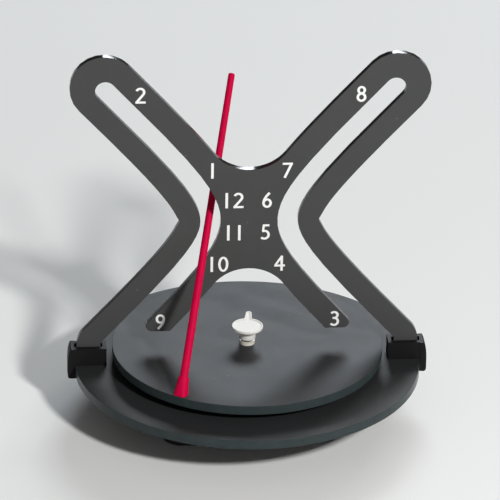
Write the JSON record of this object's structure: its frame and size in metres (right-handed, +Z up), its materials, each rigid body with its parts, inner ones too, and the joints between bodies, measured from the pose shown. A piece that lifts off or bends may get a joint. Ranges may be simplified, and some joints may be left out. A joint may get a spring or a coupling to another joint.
{
  "type": "kinetic desk clock",
  "caption": "Desk clock whose leaning red pointer, carried round on a turntable, sweeps through curved slots in an upright X-shaped dial on a round base.",
  "frame": {"origin": "on the table, under the axis that the turntable turns about", "axes": "+Z up along the turning axis, +X to the right of the dial as read, +Y away from the reader"},
  "size_m": [0.1146, 0.11, 0.1212],
  "materials": {
    "sheet_dark": "smooth dark grey acrylic sheet with cut edges",
    "sheet_smoke": "smooth smoke grey acrylic sheet with cut edges",
    "sheet_grey": "satin grey acrylic sheet with glossy cut edges",
    "clip_black": "moulded black",
    "pointer_red": "crimson paint, satin",
    "sleeve_red": "crimson moulding, satin",
    "knob_white": "white moulding, satin",
    "case_black": "moulded black, fine grain",
    "gasket_rubber": "matt",
    "brass_plain": "turned",
    "plate_nylon": "moulded",
    "wheel_nylon": "moulded",
    "magnet_dark": "sintered",
    "yoke_steel": "stamped",
    "coil_copper": "enamelled copper wire",
    "board_green": "solder mask",
    "contact_nickel": "nickel plated, satin",
    "cell_sleeve": "plain printed sleeve"
  },
  "bodies": {
    "stand": {"base_disc": "sheet_dark", "dial_plate": "sheet_grey", "left_clip": "clip_black", "right_clip": "clip_black", "movement_case": "case_black", "rear_cover": "case_black", "case_gasket": "gasket_rubber", "neck_washer": "brass_plain", "neck_nut": "brass_plain", "middle_plate": "plate_nylon", "stator": "yoke_steel", "coil": "coil_copper", "circuit_board": "board_green", "crystal": "contact_nickel", "battery": "cell_sleeve", "contact_positive": "contact_nickel", "contact_negative": "contact_nickel"},
    "turntable": {"turntable_disc": "sheet_smoke", "pointer_rod": "pointer_red", "pointer_sleeve": "sleeve_red", "hour_wheel": "wheel_nylon"},
    "minute_shaft": {"setting_knob": "knob_white", "cannon_pinion": "brass_plain"},
    "work": {"work_wheel": "wheel_nylon"},
    "centre": {"centre_wheel": "wheel_nylon"},
    "third": {"third_wheel": "wheel_nylon"},
    "seconds": {"seconds_wheel": "wheel_nylon"},
    "fifth": {"fifth_wheel": "wheel_nylon"},
    "motor": {"rotor": "magnet_dark"}
  },
  "joints": [
    {"name": "turntable_turn", "type": "hinge", "parent": "stand", "child": "turntable", "pos_m": [0, 0, 0], "axis": [0, 0, 1], "continuous": true},
    {"name": "minute_turn", "type": "hinge", "parent": "stand", "child": "minute_shaft", "pos_m": [0, 0, 0], "axis": [0, 0, 1], "continuous": true},
    {"name": "work_turn", "type": "hinge", "parent": "stand", "child": "work", "pos_m": [-0.0052, 0.003, 0], "axis": [0, 0, 1], "continuous": true},
    {"name": "centre_turn", "type": "hinge", "parent": "stand", "child": "centre", "pos_m": [0, 0, 0], "axis": [0, 0, 1], "continuous": true},
    {"name": "third_turn", "type": "hinge", "parent": "stand", "child": "third", "pos_m": [0.00624, -0.0036, 0], "axis": [0, 0, 1], "continuous": true},
    {"name": "seconds_turn", "type": "hinge", "parent": "stand", "child": "seconds", "pos_m": [0.00505, -0.0103, 0], "axis": [0, 0, 1], "continuous": true},
    {"name": "fifth_turn", "type": "hinge", "parent": "stand", "child": "fifth", "pos_m": [-0.00164, -0.01148, 0], "axis": [0, 0, 1], "continuous": true},
    {"name": "motor_turn", "type": "hinge", "parent": "stand", "child": "motor", "pos_m": [-0.00821, -0.00972, 0], "axis": [0, 0, 1], "continuous": true}
  ],
  "couplings": [
    {"joint": "minute_turn", "follows": "turntable_turn", "ratio": 12},
    {"joint": "work_turn", "follows": "turntable_turn", "ratio": -4},
    {"joint": "fifth_turn", "follows": "motor_turn", "ratio": -0.13333},
    {"joint": "seconds_turn", "follows": "motor_turn", "ratio": 0.033333},
    {"joint": "third_turn", "follows": "motor_turn", "ratio": -0.0044444},
    {"joint": "centre_turn", "follows": "motor_turn", "ratio": 0.00055556}
  ]
}
